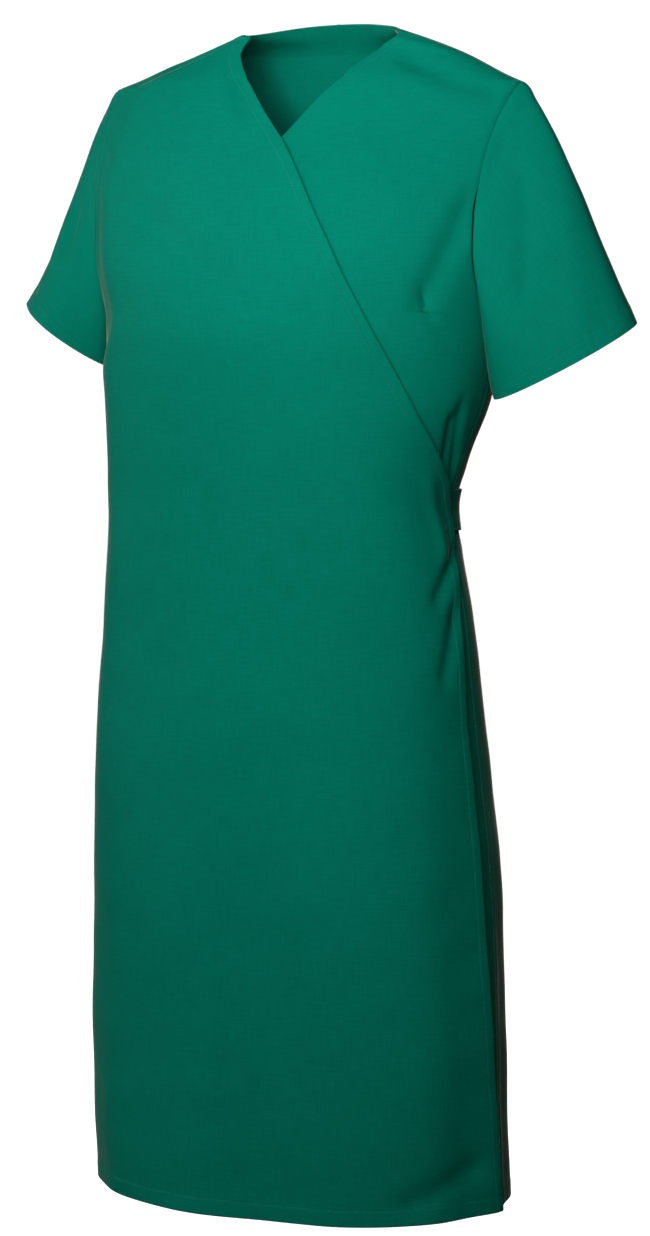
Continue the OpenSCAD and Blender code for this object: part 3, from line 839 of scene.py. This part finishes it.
knot_y = float(back_face(0, waist_depth)) + 7 * MM
loop_y = knot_y + 4.5 * MM
knot_half = 0.015
loop_reach = 0.084


def bow_loop(side, name):
    """A band that leaves the knot, turns at the loop's end and comes back."""
    start = knot_half - 2 * MM
    half_reach = (loop_reach - start) / 2
    u = np.radians(np.linspace(8, 352, 90))[None, :]
    v = np.linspace(-1, 1, 33)[:, None]
    x = start + half_reach * (1 - np.cos(u)) + 0 * v
    out = ease((x - start) / 0.040)
    half_band = (8 + (tie_half / MM - 3 - 8) * out) * MM
    pleat = np.cos(v * 8.5 + (np.sin(u) > 0) * 1.3) * (1 - out) * 1.9 * MM
    belly = 6.5 * MM * np.sin(u) * (0.72 + 0.28 * out) + pleat * np.sign(np.sin(u)) * 0.7
    roll = 1.3 * MM * (v**2) * np.sin(u) * out
    droop = 2 * (x - start) ** 2 + 0.1 * (x - start)
    edge = -0.35 * MM * np.exp(-((1 - np.abs(v)) * half_band / MM - 2.2) ** 2 / 0.5)
    grid = np.stack([side * (x + edge * np.abs(np.cos(u))), loop_y + belly - roll + edge * np.sin(u),
                     -waist_depth - droop - v * half_band + 0.8 * MM * np.sin(u * 2 + 1) * out], -1)
    if side < 0:
        grid = grid[:, ::-1]
    uv = np.stack([row_lengths(grid), -v * half_band], -1)
    return cloth_from_grid(name, grid, uv, thickness=1.3 * MM), grid


bow_loops = {}
for side, name in sides:
    bow_loops[name], loop_grid = bow_loop(side, "bow_loop_" + name)
    declare_cloth(bow_loops[name], loop_grid)

# %% Knot: a rounded block, drawn in where the band's turns cross it
knot_size = (0.0145, 0.0072, 0.0155)
bpy.ops.mesh.primitive_uv_sphere_add(segments=64, ring_count=40, radius=1, location=(0, 0, 0))
knot = bpy.context.object
knot.name = "bow_knot"
bpy.ops.object.mode_set(mode="EDIT")
bpy.ops.mesh.select_all(action="SELECT")
bpy.ops.transform.resize(value=knot_size)
bpy.ops.object.mode_set(mode="OBJECT")
way = np.array([v.co for v in knot.data.vertices]) / knot_size
turns_round = 0.055 * np.sin(way[:, 0] * 9 + way[:, 2] * 2.2) + 0.03 * np.sin(way[:, 0] * 17 - way[:, 2] * 3)
places = signed_power(way, 0.72) * knot_size * (0.90 + turns_round)[:, None]
places += np.array([0, knot_y + 0.5 * MM, -waist_depth])
knot.data.vertices.foreach_set("co", places.astype(np.float32).ravel())
bpy.ops.object.shade_smooth()
knot_uv = knot.data.uv_layers[0]
knot_uv.name = "cloth"
for corner in knot_uv.data:
    corner.uv = (corner.uv[0] * 0.080, corner.uv[1] * 0.040)
print("knot", [round(v, 4) for v in knot.dimensions])


# %% Hanging ends
def tie_end(side, name):
    """A folded band that hangs from the knot, clear of the back, with a slow curl."""
    length = 0.290
    w = np.array([[0, .25, .8, 1.8, 2.3, 3, 5, 8, 12, 17, 22, 26, 29, 31, 31.7, 32.2, 33.2, 33.75, 34]]) / 34
    v = np.concatenate([np.linspace(0, 0.955, 70), [0.965, 0.972, 0.978, 0.985, 0.993, 0.998, 1]])[:, None]
    width = (16 + (2 * tie_half / MM - 4 - 16) * ease(v * 3)) * MM
    x = side * ((2.5 + 22 * v) * MM + w * width)
    depth = waist_depth + 0.016 + v * length + 6 * MM * v * w
    inset = np.minimum(w, 1 - w) * width / MM
    relief = -0.35 * np.exp(-((inset - 2.2) / 0.6) ** 2) - 0.35 * np.exp(-((v - 0.978) * 290 / 0.9) ** 2)
    wave = 1.6 * np.sin(v * 9 + side) * (w - 0.5) * ease(v * 3) + 1.1 * np.cos(w * 7.5) * (1 - ease(v * 5))
    clear = (5.4 + relief + wave + 0.8 * np.sin(v * 6 + side)) * MM
    grid = np.stack([x, back_face(x, depth) + clear, -depth], -1)
    uv = np.stack([np.abs(x), -v * length + 0 * w], -1)
    if side > 0:
        grid, uv = grid[:, ::-1], uv[:, ::-1]
    return cloth_from_grid(name, grid, uv, thickness=1.2 * MM), grid


tie_ends = {}
for side, name in sides:
    tie_ends[name], end_grid = tie_end(side, "tie_end_" + name)
    declare_cloth(tie_ends[name], end_grid)

# %% [markdown]
# ## Label
# A blank woven label is sewn inside, beside the left side seam, where care labels go.

# %% Care label
care_label = strip("care_label", strip_rows(np.linspace(0.690, 0.740, 24)), (at_turn(4), at_turn(20)),
                   under_panel, 16)

# %% [markdown]
# ## Stitches
# The hems, the neckline and the ties are lockstitched, about three stitches to the centimetre. One stitch
# is modelled: a short six-sided thread, narrowed and sunk at both ends, where it goes into the cloth.
# Each seam is a line of copies of it, joined into one mesh, that moves with its cloth.

# %% One stitch
stitch_pitch = 3.0 * MM
stitch_length, stitch_radius = 2.3 * MM, 0.22 * MM
bpy.ops.mesh.primitive_cylinder_add(vertices=6, radius=stitch_radius, depth=stitch_length * 0.55,
                                    rotation=(0, math.pi / 2, 0))
stitch = bpy.context.object
stitch.name = "one_stitch"
bpy.ops.object.transform_apply(location=False, rotation=True, scale=False)
bpy.ops.object.mode_set(mode="EDIT")
for end in (1, -1):
    bpy.ops.mesh.select_all(action="DESELECT")
    bpy.ops.mesh.select_mode(type="FACE")
    bm = bmesh.from_edit_mesh(stitch.data)
    for face in bm.faces:
        face.select_set(face.normal.x * end > 0.9)
    bmesh.update_edit_mesh(stitch.data)
    pull = (end * stitch_length * 0.22, 0, -0.16 * MM)
    bpy.ops.mesh.extrude_region_move(TRANSFORM_OT_translate={"value": pull})
    bpy.ops.transform.resize(value=(1, 0.5, 0.5))
bpy.ops.object.mode_set(mode="OBJECT")
stitch_places = np.array([v.co for v in stitch.data.vertices])
stitch_faces = [list(p.vertices) for p in stitch.data.polygons]
bpy.data.objects.remove(stitch)
print(len(stitch_faces), "faces in a stitch")


# %% Lines of stitches
hem_inset = 14.6
hem_level = gown_length - hem_inset * MM


def evenly(points, normals):
    """Places, directions and normals every stitch along a line of points."""
    arc = line_lengths(points)
    marks = np.arange(stitch_pitch / 2, arc[-1], stitch_pitch)

    def along(values, places):
        return np.stack([np.interp(places, arc, values[:, k]) for k in range(3)], -1)

    ahead = along(points, marks + 0.5 * MM) - along(points, marks - 0.5 * MM)
    return along(points, marks), unit(ahead), unit(along(normals, marks))


def sew(name, lines):
    """One mesh of stitches along several lines, each of points and normals."""
    verts, faces, count = [], [], 0
    for points, normals in lines:
        at, ahead, up = evenly(points, normals)
        side = unit(np.cross(up, ahead))
        up = np.cross(ahead, side)
        frames = np.stack([ahead, side, up], 1)
        for one in at[:, None] + stitch_places @ frames:
            verts.extend(one.tolist())
            faces.extend([[count + k for k in face] for face in stitch_faces])
            count += len(one)
    mesh = bpy.data.meshes.new(name)
    mesh.from_pydata(verts, [], faces)
    mesh.polygons.foreach_set("use_smooth", [True] * len(mesh.polygons))
    piece = bpy.data.objects.new(name, mesh)
    bpy.context.scene.collection.objects.link(piece)
    print(f"{name}: {count // len(stitch_places)} stitches")
    return piece


def on_cloth(turns, depths, height):
    """Points on the folded cloth, raised by a height, and their normals."""
    base, normal = body_point(turns, depths), body_normal(turns, depths)
    return base + normal * (height + fold_height(base))[:, None], normal


def degree_length(turn, depth):
    """The length of one degree of turn at each place on the body."""
    return np.linalg.norm(body_point(turn + 0.5, depth) - body_point(turn - 0.5, depth), axis=-1)


def line_inside(depths, turn_of, width, lift, seed, toward):
    """A line of points a width inside a slanting edge of a panel."""
    depths = np.asarray(depths)
    lean = edge_lean(depths, turn_of)
    edge = turn_of(depths)
    room = np.minimum(1, edge_curve(depths) / 25)
    turn = edge + toward * width * MM * lean * room / degree_length(edge, depths)
    relief = hem_relief(np.full_like(depths, width), depths / MM, width, seed)
    return on_cloth(turn, depths, lift(turn, depths) + relief + 0.12 * MM)


def line_round(first, last, lift):
    """A level line of points round the body, along the stitches of the hem."""
    turns = np.arange(first, last, 0.5)
    relief = hem_relief(np.full_like(turns, hem_inset), turns * hem_degree, hem_fold_width, 3)
    return on_cloth(turns, hem_level, lift(turns, hem_level + 0 * turns) + relief + 0.12 * MM)


# %% Stitches of the body
neck_and_edge = np.concatenate([np.arange(0.004, 0.045, 0.002), np.arange(0.048, 1.046, 0.004)])
front_right_stitches = sew("front_right_stitches", [
    line_inside(neck_and_edge, overlap_edge, 9.4, overlap_lift, 2, -1),
    line_round(-179, float(overlap_edge(hem_level)) - 2, overlap_lift)])
front_left_stitches = sew("front_left_stitches", [
    line_inside(neck_and_edge[neck_and_edge < 0.36], underlap_edge, 6.5, no_lift, 1, 1),
    line_round(float(underlap_edge(hem_level)) + 2, -0.6, no_lift)])
neck_turns = np.arange(9, 171, 0.5)
neck_depths = neck_line + back_neck(neck_turns, 1 - 4.6 / neck_fade)
outside, outwards = on_cloth(neck_turns, neck_depths, 0.25 * MM)
inside, outwards = on_cloth(neck_turns, neck_depths, -2.6 * MM)
back_stitches = sew("back_stitches", [(outside, outwards), (inside, -outwards),
                                      line_round(0.6, 179.4, no_lift)])


# %% Stitches of the sleeves
def sleeve_stitches(side, name):
    a = np.arange(0, 361, 2.5)
    t = np.full_like(a, 1 - (sleeve_hem_width - 0.4) * MM / sleeve_reach)
    base, normal = sleeve_point(a, t, side), sleeve_normal(a, t, side)
    mirror = np.array([side, 1, 1])
    height = hem_relief(np.full_like(a, sleeve_hem_width - 0.4), a * sleeve_degree, sleeve_hem_width, 4)
    height = height + fold_height(base * mirror) + 0.12 * MM
    return sew(name, [((base + normal * height[:, None]) * mirror, normal * mirror)])


sleeve_sewing = {name: sleeve_stitches(side, f"sleeve_{name}_stitches") for side, name in sides}

# %% Stitches of the ties
band_edge = tie_half - 2.2 * MM
tie_lines = []
for first, last, lift in ((band_start + 1, knot_turn, outer_tie_lift), (180 - knot_turn, 170, inner_tie_lift)):
    turns = np.arange(first, last, 0.5)
    for side in (1, -1):
        depths = waist_depth + side * band_edge + 0 * turns
        tie_lines.append(on_cloth(turns, depths, lift(turns, depths) + 0.15 * MM))
tie_stitches = sew("tie_stitches", tie_lines)

# %% [markdown]
# The outer tie's corners pull hard on the overlap, so each is fixed with a bar tack: a tight zigzag over
# a few millimetres. It is a short row of stitches laid side by side across the pull. A smaller tack, in a
# paler thread, holds the binding at the back of the neck.

# %% Bar tacks
def bar_tack(middle_turn, middle_depth, lift, along, across=0.9, count=14):
    """Close stitches side by side, in a bar that runs down or along."""
    lines = []
    degree = degree_length(middle_turn, middle_depth)
    for k in np.linspace(-0.5, 0.5, count):
        turn, depth = middle_turn + k * along[0] * MM / degree, middle_depth + k * along[1] * MM
        half = across * 1.6 * MM
        ends = np.array([[-1, 0.3], [1, -0.3]]) * half
        turns = turn + (ends[:, 0] if along[1] else ends[:, 1]) / degree
        depths = depth + (ends[:, 1] if along[1] else ends[:, 0])
        lines.append(on_cloth(turns, depths, lift))
    return lines


tack_turn = float(overlap_edge(waist_depth)) - 6.5
bartacks = sew("tie_bartacks", [
    line for k in (-1, 1)
    for line in bar_tack(tack_turn, waist_depth + k * (tie_half - 4 * MM), wrap_lift + 0.35 * MM, (0, 5))])
neck_tack = sew("neck_tack", bar_tack(122, neck_line - 0.0125 * 0.62, -2.6 * MM, (6, 0), 0.7, 12))

# %% [markdown]
# ## Cloth and thread
# The cloth is a plain weave of polyester and cotton in a clear teal green: warp and weft pass over and
# under each other, and here and there a yarn is a little thicker or takes the dye a little differently,
# which shows as fine flecks and streaks along the grain. Both effects are made once, in node groups that
# read the flat cloth's own coordinates, and each material sets its own thread size and colours.

# %% Weave group
def new_group(name, inputs, outputs):
    """An empty node group with named sockets: (name, kind, default)."""
    group = bpy.data.node_groups.new(name, "ShaderNodeTree")
    for socket, kind, default in inputs:
        made = group.interface.new_socket(socket, in_out="INPUT", socket_type=kind)
        if default is not None:
            made.default_value = default
    for socket, kind in outputs:
        group.interface.new_socket(socket, in_out="OUTPUT", socket_type=kind)
    return group, group.nodes.new("NodeGroupInput"), group.nodes.new("NodeGroupOutput")


def maths(tree, operation, *values):
    """A Math node on links or numbers, giving its output."""
    node = tree.nodes.new("ShaderNodeMath")
    node.operation = operation
    for socket, value in zip(node.inputs, values):
        if isinstance(value, (int, float)):
            socket.default_value = value
        else:
            tree.links.new(value, socket)
    return node.outputs[0]


def stretched_noise(tree, vector, scale, detail=2.0):
    """Noise with its own scale along each direction of the cloth."""
    place = tree.nodes.new("ShaderNodeMapping")
    place.inputs["Scale"].default_value = scale
    tree.links.new(vector, place.inputs["Vector"])
    made = tree.nodes.new("ShaderNodeTexNoise")
    made.inputs["Scale"].default_value = 1
    made.inputs["Detail"].default_value = detail
    tree.links.new(place.outputs["Vector"], made.inputs["Vector"])
    return made.outputs["Fac"]


weave, weave_in, weave_out = new_group(
    "plain_weave",
    [("Cloth", "NodeSocketVector", None), ("Threads per metre", "NodeSocketFloat", 2200.0)],
    [("Height", "NodeSocketFloat"), ("Fleck", "NodeSocketFloat"), ("Cloudiness", "NodeSocketFloat")])
cloth_place = weave_in.outputs["Cloth"]
separate = weave.nodes.new("ShaderNodeSeparateXYZ")
weave.links.new(cloth_place, separate.inputs[0])
waves = []
for direction in "XY":
    half_turns = maths(weave, "MULTIPLY", separate.outputs[direction], math.pi)
    threads_passed = maths(weave, "MULTIPLY", half_turns, weave_in.outputs["Threads per metre"])
    waves.append(maths(weave, "SINE", threads_passed))
over_under = maths(weave, "MULTIPLY", *waves)
weft_slub = stretched_noise(weave, cloth_place, (55, 620, 1))
warp_slub = stretched_noise(weave, cloth_place, (700, 48, 1))
slubs = maths(weave, "ADD", weft_slub, warp_slub)
grain = stretched_noise(weave, cloth_place, (820, 820, 1), 1.0)
surface = {
    "Height": maths(weave, "MULTIPLY_ADD", slubs, 1.4, maths(weave, "MULTIPLY", over_under, 0.35)),
    "Fleck": maths(weave, "MULTIPLY_ADD", slubs, 0.38, maths(weave, "MULTIPLY", grain, 0.24)),
    "Cloudiness": stretched_noise(weave, cloth_place, (7, 5, 1), 3.0),
}
for socket, value in surface.items():
    weave.links.new(value, weave_out.inputs[socket])
print("weave group with", len(weave.nodes), "nodes")


# %% Cloth materials
def new_material(name):
    """A material, its node tree and its shader."""
    material = bpy.data.materials.new(name)
    material.use_nodes = True
    return material, material.node_tree, material.node_tree.nodes["Principled BSDF"]


def mixed_shade(tree, deep, pale, factor):
    """A colour between a deep and a pale shade."""
    colour = tree.nodes.new("ShaderNodeMix")
    colour.data_type = "RGBA"
    colour.inputs["A"].default_value = (*deep, 1)
    colour.inputs["B"].default_value = (*pale, 1)
    tree.links.new(factor, colour.inputs["Factor"])
    return colour.outputs["Result"]


def add_relief(tree, shader, height, strength, depth):
    """A bump on the shader, from a height between 0 and 1."""
    relief = tree.nodes.new("ShaderNodeBump")
    relief.inputs["Strength"].default_value = strength
    relief.inputs["Distance"].default_value = depth
    tree.links.new(height, relief.inputs["Height"])
    tree.links.new(relief.outputs["Normal"], shader.inputs["Normal"])


def cloth_material(name, pale, deep, threads=2200.0, bump=0.10, roughness=0.78, sheen=0.60,
                   sheen_tint=(0.85, 0.56, 0.46, 1)):
    """Woven cloth between a deep and a pale shade of one colour."""
    material, tree, shader = new_material(name)
    flat_cloth = tree.nodes.new("ShaderNodeUVMap")
    flat_cloth.uv_map = "cloth"
    group = tree.nodes.new("ShaderNodeGroup")
    group.node_tree = weave
    group.inputs["Threads per metre"].default_value = threads
    tree.links.new(flat_cloth.outputs["UV"], group.inputs["Cloth"])
    fleck = group.outputs["Fleck"]
    wear = tree.nodes.new("ShaderNodeHueSaturation")
    worn = map_range(tree, group.outputs["Cloudiness"], (0.96, 1.04), (0.3, 0.7))
    tree.links.new(worn, wear.inputs["Value"])
    flecked = mixed_shade(tree, deep, pale, map_range(tree, fleck, (0, 1), (0.36, 0.64)))
    tree.links.new(flecked, wear.inputs["Color"])
    tree.links.new(wear.outputs["Color"], shader.inputs["Base Color"])
    tree.links.new(map_range(tree, fleck, (roughness - 0.06, roughness + 0.06)), shader.inputs["Roughness"])
    add_relief(tree, shader, group.outputs["Height"], bump, 0.3 * MM)
    shader.inputs["Specular IOR Level"].default_value = 0.03
    shader.inputs["Sheen Weight"].default_value = sheen
    shader.inputs["Sheen Roughness"].default_value = 0.18
    shader.inputs["Sheen Tint"].default_value = sheen_tint
    return material


gown_cloth = cloth_material("teal_polycotton", (0.000, 0.262, 0.178), (0.000, 0.205, 0.134))
# Painted shade: the facings and slit patch are the gown's cloth made a tenth darker, as they lie inside.
shaded_facing_cloth = cloth_material("teal_facing_painted_shade", (0.000, 0.235, 0.157), (0.000, 0.182, 0.117))
tie_cloth = cloth_material("teal_tie", (0.000, 0.245, 0.165), (0.000, 0.190, 0.123), bump=0.12)
label_satin = cloth_material("white_label_satin", (0.80, 0.82, 0.79), (0.70, 0.72, 0.70),
                             threads=4200.0, bump=0.05, roughness=0.42, sheen=0.1, sheen_tint=(1, 1, 1, 1))


# %% [markdown]
# The sewing thread is a polyester of the cloth's colour, a little paler and glossier, twisted from plies.
# The twist is too fine to model, so a slanting wave gives it as a bump, and as painted shade in the
# colour: paler on the wave's crests and darker in its grooves.

# %% Thread
def thread_material(name, pale, deep):
    material, tree, shader = new_material(name)
    place = tree.nodes.new("ShaderNodeTexCoord")
    twist = tree.nodes.new("ShaderNodeTexWave")
    twist.bands_direction = "DIAGONAL"
    twist.inputs["Scale"].default_value = 900
    tree.links.new(place.outputs["Object"], twist.inputs["Vector"])
    # Painted shade of the twist: the colour is paler where the bump is high and darker where it is low.
    tree.links.new(mixed_shade(tree, deep, pale, twist.outputs["Fac"]), shader.inputs["Base Color"])
    add_relief(tree, shader, twist.outputs["Fac"], 0.3, 0.05 * MM)
    shader.inputs["Roughness"].default_value = 0.5
    return material


green_thread = thread_material("teal_thread", (0.00, 0.275, 0.200), (0.00, 0.195, 0.138))
pale_thread = thread_material("pale_green_thread", (0.16, 0.46, 0.36), (0.08, 0.33, 0.25))

# %% [markdown]
# ## Putting it together
# Each piece takes the material of its kind and hides the imported nodes it stands for. Most pieces ride on
# the gown's body and each tie end on its own; the overlap, the sleeves and their stitches keep their place,
# with their transforms baked into their meshes.

# %% Materials, slots and replaced nodes
slots = {"cloth": gown_cloth, "facing": shaded_facing_cloth, "tie": tie_cloth, "thread": green_thread,
         "label": label_satin}
finishes = [
    ("cloth", front_right, "front_right_panel front_right_flap front_right_hem flap_hem flap_edge_hem"),
    ("cloth", front_left, "front_left_panel front_left_hem"),
    ("cloth", back, "back_panel back_hem"),
    *[("cloth", sleeves[name], f"sleeve_{name} sleeve_{name}_hem") for side, name in sides],
    ("facing", front_right_facing, "front_right_facing"),
    ("facing", front_left_facing, "front_left_facing"),
    ("facing", back_neck_facing, "back_neck_facing"),
    ("facing", slit_patch, "seam_slit_patch"),
    ("tie", outer_tie, "outer_tie_band"),
    ("tie", inner_tie, "inner_tie_band"),
    ("tie", knot, "bow_knot"),
    *[("tie", bow_loops[name], "bow_loop_" + name) for side, name in sides],
    *[("tie", tie_ends[name], "tie_tail_" + name) for side, name in sides],
    ("thread", bartacks, "tie_bartacks"),
    ("label", care_label, "care_label"),
    *[("thread", piece, "") for piece in (front_right_stitches, front_left_stitches, back_stitches)],
    *[("thread", piece, "") for piece in (*sleeve_sewing.values(), tie_stitches, neck_tack)],
]
for slot, piece, nodes in finishes:
    piece.data.materials.clear()
    piece.data.materials.append(pale_thread if piece == neck_tack else slots[slot])
    if nodes:
        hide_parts(*nodes.split())
print(len(finishes), "pieces")

# %% Bodies
for piece in (front_right, front_right_stitches):
    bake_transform(piece)
for side, name in sides:
    for piece in (sleeves[name], sleeve_sewing[name]):
        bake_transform(piece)
    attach(tie_ends[name], name + "_tie_end")
blended = {front_right, front_right_stitches, *sleeves.values(), *sleeve_sewing.values(), *tie_ends.values()}
for slot, piece, nodes in finishes:
    if piece not in blended:
        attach(piece, "gown")
